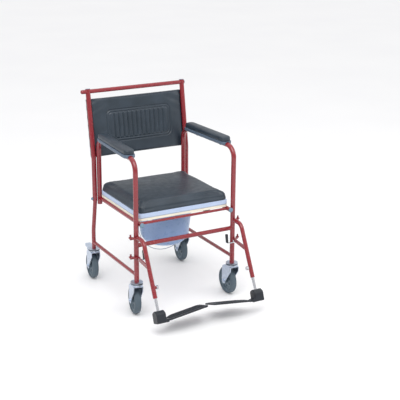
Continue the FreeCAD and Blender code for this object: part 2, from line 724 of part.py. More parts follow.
def hinge_eye(sign, level):
    """Flat eye from the hanger, round the front of the leg, to its peg."""
    reach = d.peg_half - d.leg_half
    ring = Part.makeCylinder(8, 5, Vector(0, sign * reach, 0))
    outline = ((4, reach + 6.5), (23, 9), (23, -8), (15.5, -8), (15.5, 4), (-3, reach - 7))
    corners = [Vector(x, sign * float(y), 0) for x, y in outline]
    web = Part.Face(Part.makePolygon(corners + corners[:1]))
    eye = ring.fuse(web.extrude(Vector(0, 0, 5)))
    eye = eye.cut(Part.makeCylinder(d.peg_wire / 2 + 0.3, 5, Vector(0, sign * reach, 0)))
    eye.translate(Vector(0, 0, level - 2.5))
    return eye.removeSplitter()


def hanger(side, sign):
    """Bent footrest tube with a lower gusset; its two eyes turn on the leg's pegs."""
    start = in_front(d.hanger_root)
    knee = in_front(d.hanger_knee)
    foot = in_front(d.hanger_foot_depth)
    tube = new_body(f"hanger_tube_{side}", (sign * d.leg_half, front_leg_depth - start, d.hanger_level),
                    FACING_FRONT * Rotation(Vector(0, 1, 0), 90))
    drop = d.hanger_level - d.hanger_foot
    sweep(tube, ((0, 0), (0, knee - start, d.hanger_bend), (drop, foot - start)), d.slim_tube, d.tube_wall)
    gusset_level = d.lower_peg_level
    at_gusset = float(knee) + float(foot - knee) * float(d.hanger_level - gusset_level) / float(drop)
    outline = [Vector(x, -2.5, z) for x, z in (
        (16, 2.5), (16, -2.5), (26, -13), (at_gusset - 4, -22), (at_gusset - 9, -4), (30, 2.5), (16, 2.5))]
    gusset = Part.Face(Part.makePolygon(outline)).extrude(Vector(0, 5, 0))
    gusset.translate(Vector(0, 0, gusset_level))
    top_strap = Part.makeBox(14, 12, 5, Vector(15.5, -6, d.hanger_level - 2.5))
    tube_start = Vector(float(start), 0, float(d.hanger_level))
    bore = Part.makeCylinder(d.slim_tube / 2, 40, tube_start, Vector(1, 0, 0))
    bracket = hinge_eye(sign, gusset_level).fuse(gusset)
    upper = hinge_eye(sign, d.hanger_level).fuse(top_strap).cut(bore)
    place = Placement(Vector(sign * d.leg_half, front_leg_depth, 0), FACING_FRONT)
    spot, facing = screw_place(sign)
    boss = turned(((0, 0), (6.5, 0), (6.5, -BOSS_HEIGHT - 3), (0, -BOSS_HEIGHT - 3)), spot, facing)
    sloping = Part.makeCylinder(d.slim_tube / 2, 120, Vector(*spot) + rod_axis() * 60 + Vector(
        sign * BOSS_HEIGHT + sign * float(d.slim_tube) / 2, 0, 0), -rod_axis())
    pieces = [piece.removeSplitter().transformed(place.toMatrix()) for piece in (bracket, upper)]
    loose_solid(f"hanger_bracket_{side}", Part.Compound(pieces + [boss.cut(sloping)]))


def hanger_latch(side, sign):
    """Release lever on a pivot under the lower eye: a steel strip across the leg, and its grip."""
    level = d.lower_peg_level - 15.5
    body = new_body(f"hanger_latch_{side}", (sign * d.leg_half, front_leg_depth, level))
    inward = -sign
    plan = new_sketch(body)
    front = -22.5
    add_outline(plan, ((-inward, front, 4), (inward * 38, front, 6), (inward * 38, -2, 4), (inward * 27, -2, 4),
                       (inward * 27, -14, 3), (-inward, -14, 4)))
    pad(body, plan, 3)
    pivot = new_sketch(body)
    add_circle(pivot, inward * 5.5, -19, 2.5)
    pad(body, pivot, 12.5)
    place = (sign * d.leg_half + inward * 32.5, front_leg_depth - 8, level + 3.05)
    grip = new_body(f"latch_grip_{side}", place)
    side_view = new_sketch(grip, "YZ_Plane")
    add_outline(side_view, ((-7, 0), (5, 0), (13, 34, 5), (-2, 38, 5)))
    pad(grip, side_view, 8, symmetric=True)


HEEL_ANGLE = 20
HEEL_TILT = Rotation(Vector(1, 0, 0), -HEEL_ANGLE)
HINGE_OUT, HINGE_DROP, KNUCKLE = 30, -17, 7


def footrest_rod(side, sign):
    """Chrome rod that slides in the hanger tube and ends inside the heel."""
    hidden = 70
    exposed = (d.hanger_foot - d.rod_foot) / abs(rod_axis().z)
    start = Vector(sign * d.leg_half, float(d.hanger_foot_depth), float(d.hanger_foot)) - rod_axis() * hidden
    rod = new_body(f"footrest_rod_{side}", start, Rotation(Vector(0, 0, 1), rod_axis()))
    disc = new_sketch(rod)
    add_circle(disc, 0, 0, d.rod_width / 2)
    pad(rod, disc, exposed + hidden)


def footrest_heel(side, sign):
    """Moulded heel block clamped on the rod, with two hinge lugs on its inner side."""
    place = Vector(sign * d.leg_half, float(rod_foot_depth), float(d.rod_foot))
    heel = new_body(f"footrest_heel_{side}", place, HEEL_TILT)
    inward = -sign
    side_view = new_sketch(heel, "YZ_Plane")
    add_outline(side_view, ((18, -24, 5), (18, 20, 12), (-4, 30, 10), (-24, 18, 12), (-24, -24, 5)))
    pad(heel, side_view, 44, symmetric=True)
    for offset in (-22, 6):
        lug = new_sketch(heel, "XZ_Plane")
        lug.AttachmentOffset = Placement(Vector(0, 0, -offset - 10), Rotation())
        low, high = HINGE_DROP - KNUCKLE, HINGE_DROP + KNUCKLE
        tip = inward * (HINGE_OUT + KNUCKLE)
        add_outline(lug, ((inward * 20, low), (tip, low, 6.9), (tip, high, 6.9), (inward * 20, high)))
        pad(heel, lug, 10)
    bore = new_sketch(heel)
    lean = HEEL_ANGLE - math.degrees(math.atan(slant_tangent))
    bore.AttachmentOffset = Placement(Vector(), Rotation(Vector(1, 0, 0), lean))
    add_circle(bore, 0, 0, d.rod_width / 2)
    pocket(heel, bore, 60, symmetric=False, upwards=True)


def footplate(side, sign):
    """Plate with a knuckle between the heel's lugs; it rises a little towards its tip."""
    inward = -sign
    heel_place = Vector(sign * d.leg_half, float(rod_foot_depth), float(d.rod_foot))
    axis_spot = heel_place + HEEL_TILT.multVec(Vector(inward * HINGE_OUT, 0, HINGE_DROP))
    turn = HEEL_TILT * Rotation(Vector(0, 1, 0), -inward * 6.5)
    plate = new_body(f"footplate_{side}", axis_spot, turn)
    tip = d.leg_half - d.plate_tip - HINGE_OUT
    rear = d.plate_depth - 24
    plan = new_sketch(plate)
    plan.AttachmentOffset = Placement(Vector(0, 0, -d.plate_thick / 2), Rotation())
    add_outline(plan, ((inward * 8.5, -24, 3), (inward * tip, -24, 12), (inward * tip, rear, 18),
                       (inward * 60, rear, 30), (inward * 8.5, rear - 34, 10)))
    pad(plate, plan, d.plate_thick)
    knuckle = new_sketch(plate, "XZ_Plane")
    knuckle.AttachmentOffset = Placement(Vector(0, 0, -5.5), Rotation())
    half = d.plate_thick / 2
    add_outline(knuckle, ((-inward * 6.5, -6.5, 5.6), (inward * 10, -half - 1), (inward * 10, half + 1),
                          (-inward * 6.5, 6.5, 5.6)))
    pad(plate, knuckle, 17)


def height_screw(side, sign):
    """Thumbscrew on the inner side of the hanger tube that clamps the rod."""
    place, turn = screw_place(sign)
    knob = new_body(f"height_screw_{side}", place, turn)
    disc = new_sketch(knob)
    add_circle(disc, 0, 0, 8.5)
    pad(knob, disc, 9)
    scallop = new_sketch(knob)
    for n in range(5):
        angle = math.radians(72 * n)
        add_circle(scallop, 11.2 * math.cos(angle), 11.2 * math.sin(angle), 4)
    pocket(knob, scallop)


leg_pegs()
for side, sign in SIDES:
    hanger(side, sign)
    hanger_latch(side, sign)
    footrest_rod(side, sign)
    footrest_heel(side, sign)
    footplate(side, sign)
    height_screw(side, sign)

# ---------------------------------------------------------------- check and write
doc.recompute()
nodes = [o for o in doc.Objects if o.TypeId == "PartDesign::Body" or o.TypeId == "Part::Feature"]
for item in doc.Objects:
    if "Invalid" in item.State or "Error" in item.State:
        raise RuntimeError(f"{item.Label} failed: {item.State}")
os.makedirs("parts", exist_ok=True)
for node in nodes:
    if node.Shape.isNull() or not node.Shape.isValid():
        raise RuntimeError(f"{node.Label} has no valid shape")
    node.Shape.exportStep(f"parts/{node.Label}.step")
print(len(nodes), "nodes written")
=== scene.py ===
# %% [markdown]
# # A commode chair, dressed in Blender
# The engineering model brings the steel frame, the castors and every hinge, already in place.
# This lesson gives each piece its finish, swells the cushions like real upholstery, and adds
# the small things a workshop leaves behind, such as weld beads and rubber seals.
# All lengths are metres. The chair faces -Y, +Z is up, and "left" is -X.

# %% Load the frame
import json
import math
import bmesh
import bpy
import numpy as np
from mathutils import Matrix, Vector


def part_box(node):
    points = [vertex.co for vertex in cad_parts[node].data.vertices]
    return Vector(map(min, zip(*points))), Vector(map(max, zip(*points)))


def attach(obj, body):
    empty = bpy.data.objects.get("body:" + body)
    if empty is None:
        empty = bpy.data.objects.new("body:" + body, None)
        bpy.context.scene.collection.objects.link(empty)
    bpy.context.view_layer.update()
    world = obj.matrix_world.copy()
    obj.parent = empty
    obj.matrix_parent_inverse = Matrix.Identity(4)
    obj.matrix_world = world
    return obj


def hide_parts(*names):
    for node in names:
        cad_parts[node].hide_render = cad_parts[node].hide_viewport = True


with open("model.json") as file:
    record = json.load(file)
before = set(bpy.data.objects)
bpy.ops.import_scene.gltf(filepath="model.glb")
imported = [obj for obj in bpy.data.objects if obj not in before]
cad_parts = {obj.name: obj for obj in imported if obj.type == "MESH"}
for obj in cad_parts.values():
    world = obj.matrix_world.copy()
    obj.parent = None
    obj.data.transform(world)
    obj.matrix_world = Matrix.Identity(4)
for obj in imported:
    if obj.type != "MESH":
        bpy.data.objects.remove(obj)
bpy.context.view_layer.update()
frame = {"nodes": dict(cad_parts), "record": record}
scene = bpy.context.scene
bodies = frame["record"]["behaviour"]["bodies"]
body_of_node = {node: body for body, nodes in bodies.items() for node in nodes}
slot_of_node = {part["node"]: part["material_slot"] for part in frame["record"]["subparts"]}
MM = 0.001
X, Y, Z = Vector((1, 0, 0)), Vector((0, 1, 0)), Vector((0, 0, 1))
SIDES = (("left", -1), ("right", 1))

# %% [markdown]
# ## Tools for finishes
# Every finish starts from one Principled shader. Three small tools then bring it to life:
# one varies the colour, one varies the gloss, and one adds relief. They all read the piece's
# own coordinates, so the pattern stays on the piece when it moves. An image texture could do
# the same, but a pattern made of nodes has no seams and works at any distance.


# %% Tools for finishes
def new_finish(name, colour, roughness, metallic=0.0):
    finish = bpy.data.materials.new(name)
    finish.use_nodes = True
    shader = finish.node_tree.nodes["Principled BSDF"]
    shader.inputs["Base Color"].default_value = (*colour, 1)
    shader.inputs["Roughness"].default_value = roughness
    shader.inputs["Metallic"].default_value = metallic
    return finish, shader


def pattern(finish, kind, scale, stretch=(1, 1, 1), **settings):
    """A noise or cell pattern in the piece's own coordinates. Gives its grey output."""
    nodes, links = finish.node_tree.nodes, finish.node_tree.links
    place = nodes.new("ShaderNodeTexCoord")
    stretched = nodes.new("ShaderNodeMapping")
    stretched.inputs["Scale"].default_value = stretch
    texture = nodes.new(f"ShaderNodeTex{kind}")
    texture.inputs["Scale"].default_value = scale
    for socket, value in settings.items():
        texture.inputs[socket].default_value = value
    links.new(place.outputs["Object"], stretched.inputs["Vector"])
    links.new(stretched.outputs["Vector"], texture.inputs["Vector"])
    return texture.outputs[0]


USUAL_LOW, USUAL_HIGH = 0.3, 0.7  # a noise rarely leaves this range


def vary_colour(finish, shader, grey, dark, light, low=USUAL_LOW, high=USUAL_HIGH):
    """Runs the base colour from dark to light as the pattern goes from low to high."""
    ramp = finish.node_tree.nodes.new("ShaderNodeValToRGB")
    for stop, (position, colour) in zip(ramp.color_ramp.elements, ((low, dark), (high, light))):
        stop.position = position
        stop.color = (*colour, 1)
    finish.node_tree.links.new(grey, ramp.inputs[0])
    finish.node_tree.links.new(ramp.outputs[0], shader.inputs["Base Color"])


def vary_gloss(finish, shader, grey, smooth, rough):
    """Runs the roughness from smooth to rough with the pattern."""
    reach = finish.node_tree.nodes.new("ShaderNodeMapRange")
    reach.inputs["From Min"].default_value = USUAL_LOW
    reach.inputs["From Max"].default_value = USUAL_HIGH
    reach.inputs["To Min"].default_value = smooth
    reach.inputs["To Max"].default_value = rough
    finish.node_tree.links.new(grey, reach.inputs["Value"])
    finish.node_tree.links.new(reach.outputs["Result"], shader.inputs["Roughness"])


def add_relief(finish, shader, grey, depth, strength):
    """Bumps of a depth in metres, on top of any relief that the shader already has."""
    links = finish.node_tree.links
    bump = finish.node_tree.nodes.new("ShaderNodeBump")
    bump.inputs["Distance"].default_value = depth
    bump.inputs["Strength"].default_value = strength
    if shader.inputs["Normal"].links:
        links.new(shader.inputs["Normal"].links[0].from_socket, bump.inputs["Normal"])
    links.new(grey, bump.inputs["Height"])
    links.new(bump.outputs["Normal"], shader.inputs["Normal"])


# %% [markdown]
# ## Red powder coat
# The tubes are sprayed with dry paint powder and baked. It melts into a thick glossy skin
# with the faint ripple called orange peel. A clear coat layer gives the sharp highlight, a
# fine noise gives the ripple, and a broad, weak noise keeps one tube from matching the next.


# %% Red powder coat
def powder_coat():
    finish, shader = new_finish("red_powder_coat", (0.24, 0.008, 0.016), 0.3)
    batches = pattern(finish, "Noise", 9.0, Detail=3.0)
    vary_colour(finish, shader, batches, (0.215, 0.006, 0.013), (0.25, 0.009, 0.017))
    vary_gloss(finish, shader, pattern(finish, "Noise", 60.0, Detail=4.0), 0.22, 0.3)
    add_relief(finish, shader, pattern(finish, "Noise", 700.0, Detail=1.0), 0.00003, 0.35)
    shader.inputs["Coat Weight"].default_value = 0.7
    shader.inputs["Coat Roughness"].default_value = 0.07
    return finish


# %% [markdown]
# ## Black vinyl
# The upholstery is calendered vinyl, printed with a leather grain by a steel roller. Small
# cells make the pebbles, and a finer noise breaks their tops. The grain is under a
# millimetre deep, so relief in the shader is enough: real geometry would cost millions of
# faces for a thing the eye only reads as a soft sheen.


# %% Black vinyl
def vinyl():
    finish, shader = new_finish("black_vinyl", (0.020, 0.034, 0.050), 0.42)
    clouds = pattern(finish, "Noise", 14.0, Detail=5.0)
    vary_colour(finish, shader, clouds, (0.013, 0.024, 0.036), (0.025, 0.040, 0.058))
    vary_gloss(finish, shader, pattern(finish, "Noise", 45.0, Detail=6.0), 0.34, 0.5)
    add_relief(finish, shader, pattern(finish, "Voronoi", 620.0), 0.00022, 0.45)
    add_relief(finish, shader, pattern(finish, "Noise", 1700.0, Detail=2.0), 0.00006, 0.5)
    shader.inputs["Coat Weight"].default_value = 0.18
    shader.inputs["Coat Roughness"].default_value = 0.3
    return finish


# %% [markdown]
# ## Moulded plastics
# Seat, armrest bases, plugs, wheels and footplates are injection moulded. They differ in
# colour, gloss and in the texture etched into the mould, so one function makes them all. The
# bucket is thin, and light passes into it: subsurface scattering gives that milky depth.


# %% Moulded plastics
def moulded(name, colour, roughness, etch_scale, etch_depth, shade=0.85):
    finish, shader = new_finish(name, colour, roughness)
    darker = [c * shade for c in colour]
    vary_colour(finish, shader, pattern(finish, "Noise", 16.0, Detail=4.0), darker, colour)
    handling = pattern(finish, "Noise", 70.0, Detail=5.0)
    vary_gloss(finish, shader, handling, roughness - 0.07, roughness + 0.1)
    add_relief(finish, shader, pattern(finish, "Noise", etch_scale, Detail=3.0), etch_depth, 0.5)
    return finish


def milky(name, colour, roughness):
    finish = moulded(name, colour, roughness, 120.0, 0.00012, 0.92)
    shader = finish.node_tree.nodes["Principled BSDF"]
    shader.inputs["Subsurface Weight"].default_value = 0.35
    shader.inputs["Subsurface Scale"].default_value = 0.004
    shader.inputs["Subsurface Radius"].default_value = (0.4, 0.7, 1.0)
    return finish


# %% [markdown]
# ## Metals
# Castor forks are zinc plated: a bluish metal with a faint spangle. The height rods and the
# bail are chromed wire. Stretching a noise along one axis draws the fine lines that rolling
# and polishing leave. For a metal the colour is the tint of its reflection.


# %% Metals
def metal(name, colour, roughness, grain_stretch, spangle):
    finish, shader = new_finish(name, colour, roughness, metallic=1.0)
    darker = [c * spangle for c in colour]
    vary_colour(finish, shader, pattern(finish, "Voronoi", 90.0), darker, colour, 0.0, 0.8)
    handling = pattern(finish, "Noise", 90.0, Detail=5.0)
    vary_gloss(finish, shader, handling, roughness * 0.75, roughness * 1.35)
    fine_lines = pattern(finish, "Noise", 160.0, grain_stretch, Detail=4.0)
    add_relief(finish, shader, fine_lines, 0.00004, 0.4)
    return finish


# %% Every finish by its slot
finish_of_slot = {
    "frame_paint": powder_coat(),
    "upholstery_vinyl": vinyl(),
    "seat_plastic": moulded("light_blue_plastic", (0.47, 0.57, 0.76), 0.36, 420.0, 0.00006, 0.93),
    # The armrest bases are dark plastic. Their lighter blue-grey colour here is a painted reflection
    # of the bright room, not the plastic's own colour.
    "arm_base_plastic": moulded("dark_plastic_painted_sky_reflection", (0.10, 0.14, 0.20), 0.42, 600.0, 0.00008),
    "board_cream": moulded("cream_board", (0.84, 0.79, 0.66), 0.55, 260.0, 0.0001, 0.92),
    "bucket_plastic": milky("blue_bucket_plastic", (0.26, 0.38, 0.62), 0.3),
    "bright_steel": metal("plated_steel", (0.70, 0.71, 0.72), 0.28, (1, 9, 1), 0.9),
    "zinc_steel": metal("zinc_plate", (0.56, 0.63, 0.74), 0.33, (1, 1, 6), 0.8),
    "chrome": metal("chrome", (0.62, 0.63, 0.66), 0.12, (1, 1, 8), 0.97),
    "wheel_plastic": moulded("grey_wheel_plastic", (0.13, 0.18, 0.22), 0.42, 500.0, 0.00008),
    "wheel_rubber": moulded("grey_rubber", (0.085, 0.12, 0.15), 0.6, 340.0, 0.00016),
    "plug_plastic": moulded("teal_grey_plastic", (0.17, 0.27, 0.36), 0.4, 500.0, 0.00006),
    "black_plastic": moulded("black_plastic", (0.014, 0.018, 0.026), 0.42, 900.0, 0.00012, 0.7),
}
for name, node in frame["nodes"].items():
    node.material_slots[0].material = finish_of_slot[slot_of_node[name]]
print("finishes:", len(finish_of_slot))

# %% [markdown]
# ## Tools for pieces
# A new piece is a mesh that rides on one of the model's bodies and carries one finish. Round
# things such as beads, seals and ribs are all tubes along a path, so one function makes
# them: it sets a ring of corners at each point of the path and joins the rings.


# %% Tools for pieces
RING_SIDES = 8


def new_piece(name, corners, faces, body, slot):
    """A smooth mesh that rides on a body and has one finish."""
    mesh = bpy.data.meshes.new(name)
    mesh.from_pydata([tuple(c) for c in corners], [], faces)
    mesh.update()
    mesh.materials.append(finish_of_slot[slot])
    mesh.shade_smooth()
    piece = bpy.data.objects.new(name, mesh)
    scene.collection.objects.link(piece)
    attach(piece, body)
    return piece


def tube(path, radii, up, closed=True):
    """Corners and faces of a round bead along a path that never runs parallel to up."""
    count, sides = len(path), RING_SIDES
    corners, faces = [], []
    for n, point in enumerate(path):
        before = path[n - 1] if closed or n > 0 else path[n]
        after = path[(n + 1) % count] if closed or n < count - 1 else path[n]
        side = (after - before).cross(up).normalized()
        lift = side.cross(after - before).normalized()
        for k in range(sides):
            turn = 2 * math.pi * k / sides
            corners.append(point + (side * math.cos(turn) + lift * math.sin(turn)) * radii[n])
    for n in range(count if closed else count - 1):
        here, there = n * sides, (n + 1) % count * sides
        for k in range(sides):
            faces.append((here + k, here + (k + 1) % sides, there + (k + 1) % sides, there + k))
    if not closed:
        faces.append(tuple(range(sides))[::-1])
        faces.append(tuple((count - 1) * sides + k for k in range(sides)))
    return corners, faces


def gather(parts):
    """Joins many (corners, faces) pairs into one."""
    corners, faces = [], []
    for more_corners, more_faces in parts:
        faces += [tuple(k + len(corners) for k in face) for face in more_faces]
        corners += more_corners
    return corners, faces


def flat_circle(centre, radius, steps=64):
    """Points of a level circle."""
    turns = [2 * math.pi * n / steps for n in range(steps)]
    return [centre + (X * math.cos(t) + Y * math.sin(t)) * radius for t in turns]


def middle(node):
    """The middle of a node's box."""
    low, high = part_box(node)
    return (low + high) / 2


# %% [markdown]
# ## Copying a plain solid to work on
# The engineering model's pads are plain blocks. A copy is cut into an even skin of small
# quads by a voxel remesh, because cloth and smoothing both need an even mesh. Applying the
# modifiers leaves an ordinary mesh behind.


# %% Copying a plain solid
WELD_DISTANCE = 0.01 * MM


def coordinates(mesh):
    """One row of x, y and z for each corner."""
    flat = np.empty(len(mesh.vertices) * 3)
    mesh.vertices.foreach_get("co", flat)
    return flat.reshape(-1, 3)


def set_coordinates(mesh, places):
    mesh.vertices.foreach_set("co", places.reshape(-1))
    mesh.update()


def apply_modifiers(piece):
    """Swaps the mesh for what its modifiers make of it."""
    shown = piece.evaluated_get(bpy.context.evaluated_depsgraph_get())
    settled = bpy.data.meshes.new_from_object(shown)
    piece.modifiers.clear()
    piece.data = settled


def even_skin(piece, voxel):
    """Rebuilds the surface from quads of about one voxel."""
    remesh = piece.modifiers.new("even_skin", "REMESH")
    remesh.mode = "VOXEL"
    remesh.voxel_size = voxel
    apply_modifiers(piece)


def copy_of_node(node, name):
    """A welded copy of a solid, which stands for it."""
    mesh = frame["nodes"][node].data.copy()
    welded = bmesh.new()
    welded.from_mesh(mesh)
    bmesh.ops.remove_doubles(welded, verts=welded.verts, dist=WELD_DISTANCE)
    welded.to_mesh(mesh)
    welded.free()
    piece = bpy.data.objects.new(name, mesh)
    scene.collection.objects.link(piece)
    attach(piece, body_of_node[node])
    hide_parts(node)
    return piece


# %% [markdown]
# ## Swelling a pad
# Foam under stretched vinyl pushes out most in the middle of each face and least at the
# corners. Cloth simulation gives exactly that: the skin is inflated by a little pressure
# while its underside is held flat on the board. A cap on how far a point may move keeps the
# pad from growing into its neighbours.

# %% Swelling a pad
SIMULATED_FRAMES = 20
PAD_PRESSURE, SHEET_PRESSURE = 4.0, 3.0


def swell(piece, held, pressure, most):
    """Inflates the piece. held lists the corners that stay where they are."""
    start = coordinates(piece.data).copy()
    group = piece.vertex_groups.new(name="held")
    group.add([int(n) for n in held], 1.0, "REPLACE")
    cloth = piece.modifiers.new("swelling", "CLOTH")
    cloth.settings.quality = 4
    cloth.settings.use_pressure = True
    cloth.settings.uniform_pressure_force = pressure
    cloth.settings.vertex_group_mass = group.name
    cloth.settings.effector_weights.gravity = 0.0
    for step in range(1, SIMULATED_FRAMES + 1):
        scene.frame_set(step)
    apply_modifiers(piece)
    scene.frame_set(1)
    moved = coordinates(piece.data) - start
    length = np.linalg.norm(moved, axis=1, keepdims=True)
    set_coordinates(piece.data, start + moved * np.minimum(1, most / np.maximum(length, 1e-9)))
    print(piece.name, "swelled by up to", round(1000 * float(min(length.max(), most)), 1), "mm")


def put_finish_on(piece, slot):
    piece.data.materials.clear()
    piece.data.materials.append(finish_of_slot[slot])
    piece.data.shade_smooth()


def finish_skin(piece):
    """One subdivision rounds the little quads, and the vinyl goes on."""
    smoother = piece.modifiers.new("rounding", "SUBSURF")
    smoother.levels = smoother.render_levels = 1
    apply_modifiers(piece)
    put_finish_on(piece, "upholstery_vinyl")


def padded_copy(node, voxel, trim, most):
    """A padded piece made from a plain block. trim is cut off the sides and the top first, and
    a trim below 0 makes the block larger."""
    piece = copy_of_node(node, f"{node}_padded")
    low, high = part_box(node)
    places = coordinates(piece.data)
    foot = np.array([(low.x + high.x) / 2, (low.y + high.y) / 2, low.z])
    size = np.array(high - low)
    set_coordinates(piece.data, foot + (places - foot) * (1 - trim / size * (2, 2, 1)))
    even_skin(piece, voxel)
    underside = coordinates(piece.data)[:, 2] < low.z + voxel * 0.6
    swell(piece, np.nonzero(underside)[0], PAD_PRESSURE, most)
    return piece


# %% [markdown]
# ## Seat cushion
# A lift-off cushion: vinyl pulled over foam and stapled beneath a board. Its top is crowned,
# its rim rolls over in a large soft curve, and at each corner the spare vinyl is folded into
# short pleats under the roll. The pleats are shaped after the swelling, because a voxel
# remesh would wipe them out.


# %% Seat cushion
PLEAT_SPREAD, PLEAT_TURNS, ROLL_START = 0.42, 34, 0.6  # radians, waves per turn, share of height


def pleat_corners(piece, node, reach, depth):
    """Presses a fan of shallow folds into the side of each corner."""
    low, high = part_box(node)
    places = coordinates(piece.data)
    for x, outward_x in ((low.x + reach, -1), (high.x - reach, 1)):
        for y, outward_y in ((low.y + reach, -1), (high.y - reach, 1)):
            away = places[:, :2] - (x, y)
            beyond = (away[:, 0] * outward_x > 0) & (away[:, 1] * outward_y > 0)
            turn = np.arctan2(np.abs(away[:, 1]), np.abs(away[:, 0]))
            height = (places[:, 2] - low.z) / (high.z - low.z)
            at_corner = np.exp(-(((turn - math.pi / 4) / PLEAT_SPREAD) ** 2))
            under_roll = np.clip(1 - height / ROLL_START, 0, 1)
            fold = depth * np.cos(turn * PLEAT_TURNS) * at_corner * under_roll * beyond
            length = np.maximum(np.linalg.norm(away, axis=1, keepdims=True), 1e-6)
            places[:, :2] -= away / length * fold[:, None]
    set_coordinates(piece.data, places)


cushion = padded_copy("seat_cushion", voxel=5 * MM, trim=-2 * MM, most=9 * MM)
finish_skin(cushion)
pleat_corners(cushion, "seat_cushion", 30 * MM, 0.45 * MM)
print("seat cushion corners:", len(cushion.data.vertices))

# %% [markdown]
# ## Armrest pads
# Each pad is a long narrow block of foam on its moulded base. It swells less than the seat,
# because its vinyl is pulled tight over so small a width.

# %% Armrest pads
for side in ("left", "right"):
    arm_pad = padded_copy(f"arm_pad_{side}", voxel=4 * MM, trim=2.5 * MM, most=4 * MM)
    finish_skin(arm_pad)
    pleat_corners(arm_pad, f"arm_pad_{side}", 20 * MM, 0.4 * MM)
    print(arm_pad.name, "corners:", len(arm_pad.data.vertices))

# %% [markdown]
# ## Backrest
# The back is a sheet of foam-backed vinyl stretched between the back tubes. A heat-sealed
# field stands in its middle: a rounded frame round a row of upright channels. The sheet is
# made as a thin slab, swelled like the seat, and then pressed with the seals. Its axes are
# read from the plain solid's largest face, so it leans as much as the tubes do.


# %% The backrest's own axes
def leaning_axes(node):
    """Right, up and forward directions of a flat leaning panel, and its extent along each."""
    mesh = frame["nodes"][node].data
    forward = max(mesh.polygons, key=lambda face: face.area).normal.copy()
    if forward.y > 0:
        forward.negate()
    axes = (X, forward.cross(X).normalized(), forward)
    spots = coordinates(mesh) @ np.array(axes).T
    return np.array(axes), spots.min(0), spots.max(0)


back_axes, back_low, back_high = leaning_axes("back_panel")
cane_radius = (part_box("cane_right")[1].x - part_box("cane_right")[0].x) / 2
cane_half = middle("cane_right").x
sheet_half = cane_half - cane_radius - 1.5 * MM
back_rear = back_low[2]
back_front = back_high[2]
print("backrest:", np.round(back_high - back_low, 3), "sheet half width", round(sheet_half, 4))


# %% The backrest sheet
def start_slab(name, low, high, axes):
    """A plain closed block between two corners given along the axes, ready for a remesh."""
    picks = [(a, b, c) for a in (0, 1) for b in (0, 1) for c in (0, 1)]
    both = np.array((low, high))
    corners = [axes.T @ np.array([both[p[k], k] for k in range(3)]) for p in picks]
    faces = [(0, 1, 3, 2), (4, 6, 7, 5), (0, 4, 5, 1), (2, 3, 7, 6), (0, 2, 6, 4), (1, 5, 7, 3)]
    return new_piece(name, corners, faces, "frame", "upholstery_vinyl")


sheet_low = (-sheet_half, back_low[1] + 2 * MM, back_rear + 1 * MM)
sheet_high = (sheet_half, back_high[1] - 2 * MM, back_front - 1 * MM)
back = start_slab("backrest_padded", sheet_low, sheet_high, back_axes)
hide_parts("back_panel")
even_skin(back, 3.4 * MM)
spots = coordinates(back.data) @ back_axes.T
rim = (np.abs(spots[:, 0]) > sheet_half - 4 * MM) | (spots[:, 2] < back_rear + 4 * MM)
swell(back, np.nonzero(rim)[0], SHEET_PRESSURE, most=5 * MM)
finish_skin(back)

# %% [markdown]
# ## Heat-sealed field
# A hot bar presses the seals into the vinyl, so they are valleys with soft walls. For a
# point of the sheet, its distance to a rounded rectangle says how near the frame seal it
# is, and inside that frame a row of soft ridges makes the channels. A few slack creases
# run in from the upper corners, where the sheet is pulled hardest.


# %% Heat-sealed field
def distance_to_rounded_frame(x, z, half_x, half_z, corner):
    """Below 0 inside the frame, 0 on it, above 0 outside."""
    over_x = np.abs(x) - (half_x - corner)
    over_z = np.abs(z) - (half_z - corner)
    outside = np.hypot(np.maximum(over_x, 0), np.maximum(over_z, 0))
    return outside + np.minimum(np.maximum(over_x, over_z), 0) - corner


def valley(distance, depth, half_width):
    """A soft-walled groove: its full depth at distance 0."""
    return -depth * np.exp(-((distance / half_width) ** 2))


CHANNELS = 13
FIELD_INSET_X, FIELD_INSET_Z = 15 * MM, 13 * MM  # from the frame seal to the channels


def press_field(piece):
    """Presses the frame seals, the channels and the corner creases into the sheet's front."""
    places = coordinates(piece.data)
    spots = places @ back_axes.T
    height = back_high[1] - back_low[1]
    centre_x, half_x = 2.5 * MM, 162 * MM
    centre_z, half_z = back_low[1] + height * 0.505, height * 0.267
    x, z = spots[:, 0] - centre_x, spots[:, 1] - centre_z
    gap = distance_to_rounded_frame(x, z, half_x, half_z, 24 * MM)
    frame_seals = valley(gap, 3.4 * MM, 2.8 * MM) + valley(gap + 11 * MM, 2.4 * MM, 2.6 * MM)
    inner = distance_to_rounded_frame(x, z, half_x - FIELD_INSET_X, half_z - FIELD_INSET_Z, 12 * MM)
    inside = np.clip(-inner / (5 * MM), 0, 1)
    pitch = 2 * (half_x - FIELD_INSET_X) / CHANNELS
    share = (x / pitch + CHANNELS / 2) % 1
    from_seal = np.minimum(share, 1 - share) * pitch
    ridges = (1.6 * MM + valley(from_seal, 5.0 * MM, 3.2 * MM)) * inside
    corner_x = (np.abs(spots[:, 0]) - sheet_half) / (90 * MM)
    corner_z = (spots[:, 1] - back_high[1]) / (80 * MM)
    slack = np.exp(-(corner_x**2 + corner_z**2)) * np.clip(gap / (20 * MM), 0, 1)
    crease = 1.6 * MM * np.sin((np.abs(spots[:, 0]) * 0.45 + spots[:, 1]) / (7 * MM)) * slack
    facing = np.clip((spots[:, 2] - back_front + 4 * MM) / (2 * MM), 0, 1)
    lift = (frame_seals + ridges + crease) * facing
    set_coordinates(piece.data, places + lift[:, None] * back_axes[2])
    print("pressed", CHANNELS, "channels, deepest", round(float(lift.min()) * 1000, 2), "mm")


press_field(back)

# %% [markdown]
# ## Hems round the back tubes
# At each side the sheet turns behind the tube and is screwed to it. A hem is a narrow strip
# whose section curls round the tube's back, pulled in a little at every screw. It is
# modelled directly, because a strip this thin would vanish in a remesh.


# %% Hems round the back tubes
HEM_STEPS = 60
HEM_REACH = cane_radius + 1.7 * MM
HEM_INSET = 3 * MM
SCREW_SHARES = (0.1, 0.5, 0.9)
CANE_AXIS = back_rear + 14 * MM


